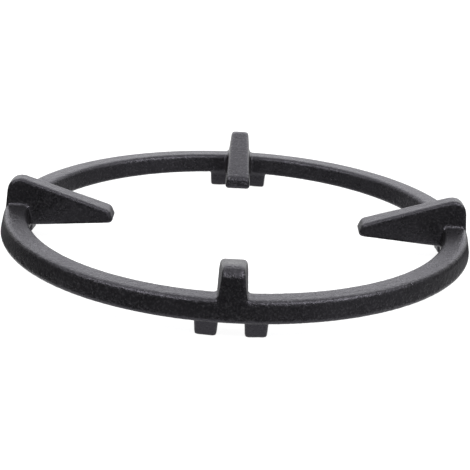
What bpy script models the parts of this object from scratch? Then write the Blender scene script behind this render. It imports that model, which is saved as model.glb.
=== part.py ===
"""Wok ring for a gas hob: one iron casting with four inward ribs and four pairs of lugs.

The ring is modelled the way its pattern is made. A sharp-edged body, rail and ribs in one,
is laid out first with every wall drafted. Its edges then get their own radius, outside
corners and root fillets alike, and the lugs are joined on under the rail.

Metres, +Z up. The origin is the ring's centre, on the plane of the lug undersides, and the
first rib points towards -Y.
"""

from math import asin, cos, pi, radians, sin, sqrt, tan

import bmesh
import bpy
from mathutils import Matrix, Vector

# Rail: a ring of drafted section, widest at its underside
RAIL_OUTER_RADIUS = 0.1204
RAIL_WIDTH = 0.0152
RAIL_HEIGHT = 0.0102
RAIL_DRAFT = radians(11.5)
RAIL_TOP_ROUND = 0.0024
RAIL_BOTTOM_ROUND = 0.0014

# Ribs: wedges that carry the pan, highest over the rail, falling towards the centre
RIB_COUNT = 4
RIB_TIP_RADIUS = 0.0615
RIB_TIP_LEAN = radians(21.0)
RIB_HEIGHT = 0.0262
RIB_TOP_SLOPE = radians(17.8)
RIB_UNDER_SLOPE = radians(4.4)
RIB_THICKNESS = 0.0147
RIB_DRAFT = radians(6.0)
RIB_HEEL_DRAFT = radians(3.5)
RIB_HEEL_ROUND = 0.0066
RIB_TIP_TOP_ROUND = 0.0034
RIB_TIP_BOTTOM_ROUND = 0.0017
RIB_EDGE_ROUND = 0.0019
RIB_HEEL_EDGE_ROUND = 0.0011
RIB_UNDER_ROUND = 0.0009
ROOT_FILLET = 0.0016

# Lugs: pairs under the rail, one each side of a hob finger
LUG_GAP = 0.0113
LUG_LENGTH = 0.0108
LUG_THICKNESS = 0.0086
LUG_INSET = 0.0016
LUG_HEIGHT = 0.0086
LUG_DRAFT = radians(4.0)
LUG_CORNER_ROUND = 0.0018
LUG_EDGE_ROUND = 0.0012
LUG_FILLET = 0.0010
LUG_FILLET_SWEEP = radians(75.0)

# How far a lug's block reaches up into the rail
LUG_BURY = 0.0010

# Mesh fineness
RAIL_STEP = radians(3.0)
HEEL_SEGMENTS = 5
TIP_SEGMENTS = 3
EDGE_SEGMENTS = 3
LUG_SEGMENTS = 3
MERGE_DISTANCE = 1e-6

# Finish: black enamelled cast iron
IRON_COLOUR = (0.022, 0.022, 0.024, 1.0)
IRON_ROUGHNESS = 0.55

RAIL_BASE = LUG_HEIGHT
RAIL_TOP = RAIL_BASE + RAIL_HEIGHT
RAIL_INNER_RADIUS = RAIL_OUTER_RADIUS - RAIL_WIDTH
RIB_TOP = RAIL_BASE + RIB_HEIGHT
SECTOR = 2.0 * pi / RIB_COUNT


def clear_scene():
    """Remove every object that the file opened with."""
    for thing in list(bpy.data.objects):
        bpy.data.objects.remove(thing, do_unlink=True)


def outer_radius(z):
    """Radius of the rail's drafted outer wall."""
    return RAIL_OUTER_RADIUS - (z - RAIL_BASE) * tan(RAIL_DRAFT)


def inner_radius(z):
    """Radius of the rail's drafted inner wall."""
    return RAIL_INNER_RADIUS + (z - RAIL_BASE) * tan(RAIL_DRAFT)


def rib_half_thickness(z):
    """Half of the rib's thickness at a height: the rib thins upwards."""
    return 0.5 * RIB_THICKNESS - (z - RAIL_BASE) * tan(RIB_DRAFT)


def x_on_circle(radius, y):
    """The x of the circle's point at the given y."""
    return sqrt(radius * radius - y * y)


def rounded_corner(before, corner, after, radius, segments):
    """Points of the arc that rounds one corner of a flat outline."""
    arm_in = (before - corner).normalized()
    arm_out = (after - corner).normalized()
    half_angle = 0.5 * arm_in.angle(arm_out)
    centre = corner + (arm_in + arm_out).normalized() * (radius / sin(half_angle))
    spoke = corner + arm_in * (radius / tan(half_angle)) - centre
    turn = pi - 2.0 * half_angle
    if arm_in.cross(arm_out) > 0.0:
        turn = -turn
    return [centre + Matrix.Rotation(turn * step / segments, 2) @ spoke
            for step in range(segments + 1)]


def rib_profile():
    """Side outline of a rib: up its heel, along the top, round the tip and back under.

    Each point is a distance from the ring's axis and a height. The end face at the tip leans
    back from RIB_TIP_RADIUS, which it would reach level with the rail's underside.
    """
    heel_foot = Vector((outer_radius(RAIL_TOP), RAIL_TOP))
    heel = Vector((heel_foot.x - (RIB_TOP - RAIL_TOP) * tan(RIB_HEEL_DRAFT), RIB_TOP))
    root = Vector((RAIL_INNER_RADIUS, RAIL_BASE))
    fall = tan(RIB_TOP_SLOPE)
    rise = tan(RIB_UNDER_SLOPE)
    lean = tan(RIB_TIP_LEAN)
    top_above = (RIB_HEIGHT - (heel.x - RIB_TIP_RADIUS) * fall) / (1.0 - lean * fall)
    bottom_above = (root.x - RIB_TIP_RADIUS) * rise / (1.0 + lean * rise)
    tip_top = Vector((RIB_TIP_RADIUS + top_above * lean, RAIL_BASE + top_above))
    tip_bottom = Vector((RIB_TIP_RADIUS + bottom_above * lean, RAIL_BASE + bottom_above))
    profile = [heel_foot]
    profile += rounded_corner(heel_foot, heel, tip_top, RIB_HEEL_ROUND, HEEL_SEGMENTS)
    profile += rounded_corner(heel, tip_top, tip_bottom, RIB_TIP_TOP_ROUND, TIP_SEGMENTS)
    profile += rounded_corner(tip_top, tip_bottom, root, RIB_TIP_BOTTOM_ROUND, TIP_SEGMENTS)
    profile += [root]
    return profile


def rib_point(distance, z, side):
    """A point of the rib's outline on its mid plane (side 0) or on a flank (side -1 or 1).

    What lies over the rail follows the rail's curve, and the rest runs straight across.
    """
    y = side * rib_half_thickness(z)
    x = x_on_circle(distance, y) if distance >= RAIL_INNER_RADIUS else distance
    return Vector((x, y, z))


def rail_station(side, fraction):
    """The rail's four corners, from the rib's flank (0) to halfway to the next rib (1)."""
    corners = []
    for radius_at, z in ((outer_radius, RAIL_BASE), (outer_radius, RAIL_TOP),
                         (inner_radius, RAIL_TOP), (inner_radius, RAIL_BASE)):
        radius = radius_at(z)
        flank = asin(rib_half_thickness(z) / radius)
        angle = side * (flank + (0.5 * SECTOR - flank) * fraction)
        corners.append(Vector((radius * cos(angle), radius * sin(angle), z)))
    return corners


def build_sector(bm, radius_layer):
    """One rib along +X with its share of the rail, each sharp edge noting its radius."""
    def set_round(start, end, radius):
        bm.edges.get((start, end))[radius_layer] = radius

    corner_rounds = (RAIL_BOTTOM_ROUND, RAIL_TOP_ROUND, RAIL_TOP_ROUND, RAIL_BOTTOM_ROUND)
    steps = round(0.5 * SECTOR / RAIL_STEP)
    flank_stations = {}
    for side in (-1, 1):
        stations = []
        for step in range(steps + 1):
            corners = rail_station(side, step / steps)
            stations.append([bm.verts.new(corner) for corner in corners])
        for here, there in zip(stations, stations[1:]):
            for corner in range(4):
                following = (corner + 1) % 4
                bm.faces.new((here[corner], here[following], there[following], there[corner]))
                set_round(here[corner], there[corner], corner_rounds[corner])
        flank_stations[side] = stations[0]

    profile = rib_profile()
    outer_bottom, inner_top = 0, 2
    lines = {}
    for side in (-1, 0, 1):
        line = [bm.verts.new(rib_point(point.x, point.y, side)) for point in profile[1:-1]]
        if side == 0:
            heel_foot = bm.verts.new(rib_point(profile[0].x, profile[0].y, side))
            root = bm.verts.new(rib_point(profile[-1].x, profile[-1].y, side))
            bottom = bm.verts.new((RAIL_OUTER_RADIUS, 0.0, RAIL_BASE))
        else:
            bottom, heel_foot, _, root = flank_stations[side]
        lines[side] = [bottom, heel_foot] + line + [root]
    for side in (-1, 1):
        near, far = lines[0], lines[side]
        for index in range(len(near)):
            following = (index + 1) % len(near)
            bm.faces.new((near[index], near[following], far[following], far[index]))
        flank = far[1:] + [flank_stations[side][inner_top]]
        bm.faces.new(flank)
        for index, (start, end) in enumerate(zip(far[1:-2], far[2:-1])):
            share = min(index / (HEEL_SEGMENTS + 1), 1.0)
            set_round(start, end, RIB_HEEL_EDGE_ROUND
                      + share * (RIB_EDGE_ROUND - RIB_HEEL_EDGE_ROUND))
        set_round(far[-2], far[-1], RIB_UNDER_ROUND)
        seam = (far[-1], flank_stations[side][inner_top], far[1])
        for start, end in zip(seam, seam[1:]):
            set_round(start, end, ROOT_FILLET)
        set_round(near[outer_bottom], far[outer_bottom], RAIL_BOTTOM_ROUND)


def build_body():
    """Rail and ribs as one sharp mesh, with each edge's rounding as its bevel weight."""
    bm = bmesh.new()
    radius_layer = bm.edges.layers.float.new("round_radius")
    weight_layer = bm.edges.layers.float.new("bevel_weight_edge")
    build_sector(bm, radius_layer)
    sector = bm.verts[:] + bm.edges[:] + bm.faces[:]
    for index in range(1, RIB_COUNT):
        copy = bmesh.ops.duplicate(bm, geom=sector)["geom"]
        copied_verts = [item for item in copy if isinstance(item, bmesh.types.BMVert)]
        bmesh.ops.rotate(bm, verts=copied_verts, cent=(0.0, 0.0, 0.0),
                         matrix=Matrix.Rotation(index * SECTOR, 3, "Z"))
    bmesh.ops.remove_doubles(bm, verts=bm.verts[:], dist=MERGE_DISTANCE)
    bmesh.ops.recalc_face_normals(bm, faces=bm.faces[:])
    bmesh.ops.rotate(bm, verts=bm.verts[:], cent=(0.0, 0.0, 0.0),
                     matrix=Matrix.Rotation(-0.5 * pi, 3, "Z"))

    offsets = {}
    for edge in bm.edges:
        radius = edge[radius_layer]
        if radius > 0.0:
            offsets[edge] = radius * tan(0.5 * abs(edge.calc_face_angle()))
    widest = max(offsets.values())
    for edge, offset in offsets.items():
        edge[weight_layer] = offset / widest

    mesh = bpy.data.meshes.new("wok_ring")
    bm.to_mesh(mesh)
    bm.free()
    mesh.shade_smooth()
    body = bpy.data.objects.new("wok_ring", mesh)
    bpy.context.collection.objects.link(body)
    rounding = body.modifiers.new("Edge radii and root fillets", "BEVEL")
    rounding.limit_method = "WEIGHT"
    rounding.width = widest
    rounding.segments = EDGE_SEGMENTS
    rounding.use_clamp_overlap = False
    return body


def lug_outline(outset):
    """Rounded footprint of a lug beside the rib along +X, grown by the outset on all sides."""
    near = 0.5 * LUG_GAP - outset
    far = 0.5 * LUG_GAP + LUG_LENGTH + outset
    inner = RAIL_INNER_RADIUS + LUG_INSET - outset
    outer = RAIL_INNER_RADIUS + LUG_INSET + LUG_THICKNESS + outset
    corners = [Vector((x_on_circle(radius, y), y))
               for radius, y in ((inner, near), (outer, near), (outer, far), (inner, far))]
    outline = []
    for index, corner in enumerate(corners):
        outline += rounded_corner(corners[index - 1], corner, corners[(index + 1) % 4],
                                  LUG_CORNER_ROUND + outset, LUG_SEGMENTS)
    return outline


def lug_rows():
    """Outset and height of each row of a lug, from inside the rail down to its underside."""
    rows = []
    for step in range(LUG_SEGMENTS, -1, -1):
        angle = LUG_FILLET_SWEEP * step / LUG_SEGMENTS
        rows.append((LUG_FILLET * (1.0 - cos(angle)), LUG_FILLET * (1.0 - sin(angle))))
    for step in range(LUG_SEGMENTS + 1):
        angle = 0.5 * pi * step / LUG_SEGMENTS
        rows.append((-LUG_EDGE_ROUND * (1.0 - cos(angle)),
                     LUG_HEIGHT - LUG_EDGE_ROUND * (1.0 - sin(angle))))
    rows = [(outset - depth * tan(LUG_DRAFT), RAIL_BASE - depth) for outset, depth in rows]
    return [(rows[0][0], RAIL_BASE + LUG_BURY)] + rows


def build_lugs():
    """All the lugs as separate closed blocks, each reaching a little way into the rail."""
    bm = bmesh.new()
    for index in range(RIB_COUNT):
        for side in (-1, 1):
            turn = Matrix.Rotation(index * SECTOR - 0.5 * pi, 4, "Z")
            loops = []
            for outset, z in lug_rows():
                outline = lug_outline(outset)
                loops.append([bm.verts.new(turn @ Vector((point.x, side * point.y, z)))
                              for point in outline])
            for upper, lower in zip(loops, loops[1:]):
                for corner in range(len(upper)):
                    following = (corner + 1) % len(upper)
                    bm.faces.new((upper[corner], upper[following],
                                  lower[following], lower[corner]))
            bm.faces.new(loops[0])
            bm.faces.new(loops[-1])
    bmesh.ops.recalc_face_normals(bm, faces=bm.faces[:])
    mesh = bpy.data.meshes.new("lug_blocks")
    bm.to_mesh(mesh)
    bm.free()
    lugs = bpy.data.objects.new("lug_blocks", mesh)
    bpy.context.collection.objects.link(lugs)
    lugs.hide_render = True
    lugs.display_type = "WIRE"
    return lugs


def join_lugs(body, lugs):
    """Unite the lugs with the body into one solid."""
    union = body.modifiers.new("Lugs", "BOOLEAN")
    union.operation = "UNION"
    union.solver = "EXACT"
    union.object = lugs


def iron_material():
    """Black enamelled cast iron."""
    material = bpy.data.materials.new("black_cast_iron")
    material.use_nodes = True
    shader = material.node_tree.nodes["Principled BSDF"]
    shader.inputs["Base Color"].default_value = IRON_COLOUR
    shader.inputs["Roughness"].default_value = IRON_ROUGHNESS
    return material


def main():
    clear_scene()
    body = build_body()
    join_lugs(body, build_lugs())
    body.data.materials.append(iron_material())


main()
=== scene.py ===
"""Looks of the wok ring: grainy black enamelled cast iron on a white ground.

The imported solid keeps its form. Its surface is remeshed finely, so that its small
facets are ironed out and the casting's slight unevenness can be real geometry. The
finest grain is bump. Dark and pale cards that only the gloss sees stand for the
surroundings that the enamel mirrors in the photograph.
"""

import math

import bmesh
import bpy
from mathutils import Matrix, Vector, noise


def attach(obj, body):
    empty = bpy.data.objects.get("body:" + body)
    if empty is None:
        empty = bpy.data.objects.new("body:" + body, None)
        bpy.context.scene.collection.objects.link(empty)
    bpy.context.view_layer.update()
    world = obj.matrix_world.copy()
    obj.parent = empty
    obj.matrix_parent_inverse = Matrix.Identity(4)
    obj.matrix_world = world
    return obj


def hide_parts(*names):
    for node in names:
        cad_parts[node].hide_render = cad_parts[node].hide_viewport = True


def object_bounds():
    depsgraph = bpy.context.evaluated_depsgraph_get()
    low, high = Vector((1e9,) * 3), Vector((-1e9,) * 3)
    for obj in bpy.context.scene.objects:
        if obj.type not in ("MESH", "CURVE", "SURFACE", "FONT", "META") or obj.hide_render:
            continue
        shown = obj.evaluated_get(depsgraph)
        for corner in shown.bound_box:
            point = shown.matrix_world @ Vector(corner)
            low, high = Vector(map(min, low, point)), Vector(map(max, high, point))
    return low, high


# Camera, solved from the photograph's edges; elevation and roll are in radians
FOCAL_MM = 95.38
SENSOR_MM = 36.0
CLIP_START = 0.01
CAMERA_DISTANCE = 0.6480
CAMERA_ELEVATION = 0.3425
CAMERA_ROLL = 0.0539
CAMERA_AZIMUTH = math.radians(-0.16)
AIM_RIGHT = 0.00008
AIM_UP = 0.00182
AIM_HEIGHT = 0.0086

# Surface of the casting: a fine even mesh, ironed, then pushed in and out
WELD_DISTANCE = 1e-6
VOXEL = 0.00074
SMOOTH_FACTOR = 0.5
SMOOTH_PASSES = 6
SKIN = 0.00004
UNEVEN_SIZE = 0.0045
UNEVEN_DEPTH = 0.00004
PEBBLE_SIZE = 0.0016
PEBBLE_DEPTH = 0.000030
PEBBLE_SHIFT = Vector((7.3, 1.9, 4.1))

# Enamel: how many cells a metre each pattern has, and its share of the bump
GRAIN_SCALE = 1050.0
GRAIN_DETAIL = 2.0
GRAIN_ROUGHNESS = 0.6
GRAIN_BUMP = 0.7
CLUMP_SCALE = 420.0
CLUMP_DETAIL = 2.0
CLUMP_BUMP = 0.7
PIT_SCALE = 420.0
PIT_RADIUS = 0.22
PIT_BUMP = 0.25
BUMP_DISTANCE = 0.00036
PATCH_SCALE = 45.0
PATCH_DETAIL = 3.0

# Enamel: deep and thin places differ a little in colour, and the grain's peaks get pale
# specks of painted sparkle
DEEP_BLACK = (0.0048, 0.0046, 0.0050, 1.0)
THIN_BLACK = (0.0072, 0.0069, 0.0075, 1.0)
THIN_RANGE = (0.35, 0.65)
# Pale speck colour: painted sparkle, glints of light painted onto the grain's peaks
SPARKLE_SPECK = (0.028, 0.0275, 0.0290, 1.0)
SPARKLE_RANGE = (0.45, 0.75)
SHEEN_RANGE = (0.3, 0.7)
PATCH_ROUGHNESS = (0.27, 0.33)
CLUMP_ROUGHNESS = (-0.03, 0.05)
ENAMEL_IOR = 1.5
ENAMEL_GLINT = (0.90, 0.865, 1.0, 1.0)

# White ground: its own colour, and how bright it shows to the camera and in gloss
WHITE = (1.0, 1.0, 1.0, 1.0)
FLOOR_RADIUS = 3.0
FLOOR_SIDES = 96
FLOOR_GREY = (0.30, 0.30, 0.30, 1.0)
FLOOR_SEEN = 0.93
FLOOR_IN_GLOSS = 0.70
WORLD_LIGHT = 0.35
WORLD_SEEN = 1.0

# Cards that only the gloss sees: name, first and last azimuth in degrees from the
# camera's side (positive to the right), glow, and profile as radius and height
CARD_STEPS = 48
CARD_COLOUR = (1.0, 1.0, 1.02, 1.0)
APRON = ((0.142, 0.0005), (1.1, 0.0005), (1.15, 0.11))
SCREEN = ((1.14, 0.11), (1.05, 0.55), (0.9, 0.95))
INNER_FRONT = ((0.02, 0.0005), (0.098, 0.0005))
INNER_BACK = ((0.02, 0.0005), (0.068, 0.0005))
INNER_BACK_RIM = ((0.068, 0.0005), (0.094, 0.0005))
RIM_STRIP = ((0.128, 0.0008), (0.143, 0.0008))
CARDS = (
    ("apron_far_left", -128.0, -90.0, 0.18, APRON),
    ("apron_left", -90.0, 28.0, 0.10, APRON),
    ("apron_right", 28.0, 92.0, 0.30, APRON),
    ("apron_far_right", 92.0, 128.0, 0.08, APRON),
    ("screen_far_left", -128.0, -100.0, 0.12, SCREEN),
    ("screen_left", -100.0, 28.0, 0.10, SCREEN),
    ("screen_right", 28.0, 92.0, 0.42, SCREEN),
    ("screen_far_right", 92.0, 128.0, 0.25, SCREEN),
    ("inner_card", -75.0, 75.0, 0.28, INNER_FRONT),
    ("inner_back", 75.0, 285.0, 1.0, INNER_BACK),
    ("inner_back_rim", 75.0, 285.0, 0.21, INNER_BACK_RIM),
    ("rim_strip", -50.0, 50.0, 1.2, RIM_STRIP),
)

# How much closer to the ring the apron starts at the sides than in front
APRON_SQUEEZE = 0.016

# Lamps: name, azimuth and elevation in degrees, distance, width, depth, radiance and
# colour
NEUTRAL = (1.0, 1.0, 1.0)
COOL = (0.92, 0.91, 1.0)
SOFTBOXES = (
    ("key_left", -56.0, 50.0, 1.3, 1.25, 0.18, 14.0, NEUTRAL),
    ("key_right", 54.0, 50.0, 1.3, 1.25, 0.18, 17.0, NEUTRAL),
    ("back_wash", 180.0, 24.0, 1.8, 2.6, 0.9, 1.0, COOL),
    ("overhead", 180.0, 62.0, 1.6, 1.8, 0.8, 0.55, COOL),
)


def add_camera():
    """The photograph's viewpoint, framing and slight tilt."""
    right = Vector((1.0, 0.0, 0.0))
    forward = Vector((0.0, math.cos(CAMERA_ELEVATION), -math.sin(CAMERA_ELEVATION)))
    up = Vector((0.0, math.sin(CAMERA_ELEVATION), math.cos(CAMERA_ELEVATION)))
    place = Vector((0.0, 0.0, AIM_HEIGHT))
    place -= right * AIM_RIGHT + up * AIM_UP + forward * CAMERA_DISTANCE
    roll_cos, roll_sin = math.cos(CAMERA_ROLL), math.sin(CAMERA_ROLL)
    columns = (right * roll_cos + up * roll_sin,
               up * roll_cos - right * roll_sin,
               -forward)
    turn = Matrix([[column[row] for column in columns] for row in range(3)]).to_4x4()
    data = bpy.data.cameras.new("camera")
    data.sensor_width = SENSOR_MM
    data.lens = FOCAL_MM
    data.clip_start = CLIP_START
    camera = link_new("camera", data)
    camera.matrix_world = (Matrix.Rotation(CAMERA_AZIMUTH, 4, "Z")
                           @ Matrix.Translation(place) @ turn)
    bpy.context.scene.camera = camera


def link_new(name, data):
    """A new object in the scene, with this mesh, lamp or camera."""
    thing = bpy.data.objects.new(name, data)
    bpy.context.scene.collection.objects.link(thing)
    return thing


def welded_copy(node):
    """The CAD node's mesh with its facets joined up, as a new mesh."""
    mesh = node.data.copy()
    mesh.name = "cast_ring"
    bm = bmesh.new()
    bm.from_mesh(mesh)
    bmesh.ops.remove_doubles(bm, verts=bm.verts[:], dist=WELD_DISTANCE)
    bm.to_mesh(mesh)
    bm.free()
    mesh.materials.clear()
    return mesh


def refined(node):
    """The node's form on a fine even mesh, ironed smooth without shrinking."""
    piece = link_new("cast_ring", welded_copy(node))
    remesh = piece.modifiers.new("Fine even mesh", "REMESH")
    remesh.mode = "VOXEL"
    remesh.voxel_size = VOXEL
    remesh.adaptivity = 0.0
    for name, factor in (("Iron out the facets", SMOOTH_FACTOR),
                         ("Give back the fullness", -SMOOTH_FACTOR)):
        iron = piece.modifiers.new(name, "SMOOTH")
        iron.factor = factor
        iron.iterations = SMOOTH_PASSES
    bpy.context.view_layer.update()
    depsgraph = bpy.context.evaluated_depsgraph_get()
    mesh = bpy.data.meshes.new_from_object(piece.evaluated_get(depsgraph))
    piece.modifiers.clear()
    piece.data = mesh
    return piece


def roughen(piece, low, high):
    """Push the surface in and out by hundredths of a millimetre, as sand moulds do.

    It stays between the corners low and high.
    """
    bm = bmesh.new()
    bm.from_mesh(piece.data)
    bm.normal_update()
    for vert in bm.verts:
        broad = noise.noise(vert.co / UNEVEN_SIZE)
        pebble = noise.noise(vert.co / PEBBLE_SIZE + PEBBLE_SHIFT)
        push = SKIN + UNEVEN_DEPTH * broad + PEBBLE_DEPTH * pebble
        moved = vert.co + vert.normal * push
        vert.co = [min(max(moved[axis], low[axis]), high[axis]) for axis in range(3)]
    bm.to_mesh(piece.data)
    bm.free()
    piece.data.shade_smooth()


class Graph:
    """Short calls for building a node material."""

    def __init__(self, owner):
        owner.use_nodes = True
        self.tree = owner.node_tree
        self.tree.nodes.clear()

    def add(self, kind, inputs=None, **settings):
        """A node with its settings, and each named input linked or set to a value."""
        node = self.tree.nodes.new(kind)
        for name, value in settings.items():
            setattr(node, name, value)
        for name, value in (inputs or {}).items():
            self.fill(node.inputs[name], value)
        return node

    def fill(self, socket, value):
        """Link a socket to the output given, or set it to the value given."""
        if isinstance(value, bpy.types.NodeSocket):
            self.tree.links.new(value, socket)
        else:
            socket.default_value = value

    def noise(self, place, scale, detail, roughness=0.5):
        """Soft noise, about 0 to 1."""
        return self.add("ShaderNodeTexNoise", {
            "Vector": place, "Scale": scale, "Detail": detail,
            "Roughness": roughness}).outputs["Fac"]

    def spread(self, value, source, target, smooth=False):
        """The value carried from one range to another."""
        return self.add("ShaderNodeMapRange", {
            "Value": value, "From Min": source[0], "From Max": source[1],
            "To Min": target[0], "To Max": target[1]},
            interpolation_type="SMOOTHSTEP" if smooth else "LINEAR").outputs["Result"]

    def math(self, operation, first, second):
        """The result of one operation on two numbers."""
        node = self.add("ShaderNodeMath", operation=operation)
        self.fill(node.inputs[0], first)
        self.fill(node.inputs[1], second)
        return node.outputs["Value"]

    def mix(self, share, first, second):
        """Two colours mixed by a share from 0 to 1."""
        return self.add("ShaderNodeMix", {
            "Factor": share, "A": first, "B": second},
            data_type="RGBA").outputs["Result"]


def iron_material():
    """Matt black enamel over cast iron: fine grain, pits and an uneven sheen."""
    material = bpy.data.materials.new("black_enamelled_iron")
    graph = Graph(material)
    place = graph.add("ShaderNodeTexCoord").outputs["Object"]
    grain = graph.noise(place, GRAIN_SCALE, GRAIN_DETAIL, GRAIN_ROUGHNESS)
    clumps = graph.noise(place, CLUMP_SCALE, CLUMP_DETAIL)
    patches = graph.noise(place, PATCH_SCALE, PATCH_DETAIL)
    pits = graph.add("ShaderNodeTexVoronoi", {
        "Vector": place, "Scale": PIT_SCALE}).outputs["Distance"]
    pit_depth = graph.spread(pits, (0.0, PIT_RADIUS), (1.0, 0.0), smooth=True)

    height = graph.math("ADD", graph.math("MULTIPLY", grain, GRAIN_BUMP),
                        graph.math("MULTIPLY", clumps, CLUMP_BUMP))
    height = graph.math("SUBTRACT", height,
                        graph.math("MULTIPLY", pit_depth, PIT_BUMP))
    bump = graph.add("ShaderNodeBump", {
        "Strength": 1.0, "Distance": BUMP_DISTANCE, "Height": height})

    thinness = graph.spread(patches, THIN_RANGE, (0.0, 1.0), smooth=True)
    # Painted sparkle: the grain's peaks turn pale in colour, standing in for glints of
    # light
    sparkle_share = graph.spread(grain, SPARKLE_RANGE, (0.0, 1.0), smooth=True)
    colour = graph.mix(sparkle_share, graph.mix(thinness, DEEP_BLACK, THIN_BLACK), SPARKLE_SPECK)
    roughness = graph.math("ADD", graph.spread(patches, SHEEN_RANGE, PATCH_ROUGHNESS),
                           graph.spread(clumps, SHEEN_RANGE, CLUMP_ROUGHNESS))

    shader = graph.add("ShaderNodeBsdfPrincipled", {
        "Base Color": colour, "Roughness": roughness, "IOR": ENAMEL_IOR,
        "Specular Tint": ENAMEL_GLINT, "Normal": bump.outputs["Normal"]})
    graph.add("ShaderNodeOutputMaterial", {"Surface": shader.outputs["BSDF"]})
    return material


def seen_in_gloss(graph, path):
    """1 for rays that gloss or glass sends on."""
    return graph.math("MAXIMUM", path.outputs["Is Glossy Ray"],
                      path.outputs["Is Transmission Ray"])


def add_floor():
    """White floor that shows as the photograph's ground and keeps a soft shadow."""
    material = bpy.data.materials.new("white_floor")
    graph = Graph(material)
    matt = graph.add("ShaderNodeBsdfDiffuse", {"Color": FLOOR_GREY})
    path = graph.add("ShaderNodeLightPath")
    strength = graph.math(
        "ADD", graph.math("MULTIPLY", path.outputs["Is Camera Ray"], FLOOR_SEEN),
        graph.math("MULTIPLY", seen_in_gloss(graph, path), FLOOR_IN_GLOSS))
    glow = graph.add("ShaderNodeEmission", {"Color": WHITE, "Strength": strength})
    both = graph.add("ShaderNodeAddShader")
    graph.fill(both.inputs[0], matt.outputs["BSDF"])
    graph.fill(both.inputs[1], glow.outputs["Emission"])
    graph.add("ShaderNodeOutputMaterial", {"Surface": both.outputs["Shader"]})

    mesh = bpy.data.meshes.new("floor")
    bm = bmesh.new()
    bmesh.ops.create_circle(bm, cap_ends=True, segments=FLOOR_SIDES,
                            radius=FLOOR_RADIUS)
    bm.to_mesh(mesh)
    bm.free()
    mesh.materials.append(material)
    link_new("floor", mesh)


def card_mesh(name, first, last, profile):
    """The profile swept round the ring's axis from one azimuth to another."""
    mesh = bpy.data.meshes.new(name)
    bm = bmesh.new()
    columns = []
    for step in range(CARD_STEPS + 1):
        angle = first + (last - first) * step / CARD_STEPS
        nearer = APRON_SQUEEZE * (1.0 - math.cos(angle)) if profile is APRON else 0.0
        columns.append([
            bm.verts.new(((radius - nearer) * math.sin(angle),
                          -(radius - nearer) * math.cos(angle), height))
            for radius, height in profile])
    for here, there in zip(columns, columns[1:]):
        for low in range(len(profile) - 1):
            bm.faces.new((here[low], there[low], there[low + 1], here[low + 1]))
    bm.to_mesh(mesh)
    bm.free()
    return mesh


def add_cards():
    """The surroundings in the enamel's gloss.

    Aprons lie on the floor round the ring and screens stand at their far edge, both
    open at the back. Inner cards lie on the floor inside the ring, and the strip lies
    just outside it in front, where the rail's lower rim mirrors it.
    """
    for name, first, last, strength, profile in CARDS:
        material = bpy.data.materials.new(name)
        graph = Graph(material)
        glow = graph.add("ShaderNodeEmission", {
            "Color": CARD_COLOUR, "Strength": strength})
        graph.add("ShaderNodeOutputMaterial", {"Surface": glow.outputs["Emission"]})
        mesh = card_mesh(name, math.radians(first), math.radians(last), profile)
        mesh.materials.append(material)
        card = link_new(name, mesh)
        card.visible_camera = False
        card.visible_diffuse = False
        card.visible_shadow = False


def add_world():
    """White tent all round: plain light, and white to the camera and in gloss."""
    world = bpy.data.worlds.new("white_tent")
    bpy.context.scene.world = world
    graph = Graph(world)
    path = graph.add("ShaderNodeLightPath")
    seen = graph.math("MAXIMUM", path.outputs["Is Camera Ray"],
                      seen_in_gloss(graph, path))
    back = graph.add("ShaderNodeBackground", {
        "Color": WHITE,
        "Strength": graph.spread(seen, (0.0, 1.0), (WORLD_LIGHT, WORLD_SEEN))})
    graph.add("ShaderNodeOutputWorld", {"Surface": back.outputs["Background"]})


def add_softbox(name, azimuth, elevation, distance, width, depth, radiance, colour):
    """A soft rectangular lamp aimed at the ring, its azimuth from the camera's side."""
    data = bpy.data.lights.new(name, "AREA")
    data.shape = "RECTANGLE"
    data.size = width
    data.size_y = depth
    data.energy = radiance * math.pi * width * depth
    data.color = colour
    lamp = link_new(name, data)
    azimuth, elevation = math.radians(azimuth), math.radians(elevation)
    level = distance * math.cos(elevation)
    lamp.location = (level * math.sin(azimuth), -level * math.cos(azimuth),
                     distance * math.sin(elevation))
    lamp.rotation_euler = (-lamp.location).to_track_quat("-Z", "Y").to_euler()


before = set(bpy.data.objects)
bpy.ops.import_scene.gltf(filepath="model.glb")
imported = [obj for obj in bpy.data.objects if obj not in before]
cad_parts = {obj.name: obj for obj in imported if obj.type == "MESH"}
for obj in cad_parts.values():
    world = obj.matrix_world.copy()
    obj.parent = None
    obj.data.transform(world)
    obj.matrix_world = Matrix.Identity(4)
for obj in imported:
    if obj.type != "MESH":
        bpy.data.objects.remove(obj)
cad_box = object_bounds()

add_camera()
ring = refined(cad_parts["wok_ring"])
roughen(ring, *(Vector(corner) for corner in cad_box))
ring.data.materials.append(iron_material())
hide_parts("wok_ring")
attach(ring, "root")

add_floor()
add_cards()
add_world()
for softbox in SOFTBOXES:
    add_softbox(*softbox)

view = bpy.context.scene.view_settings
view.view_transform = "Standard"
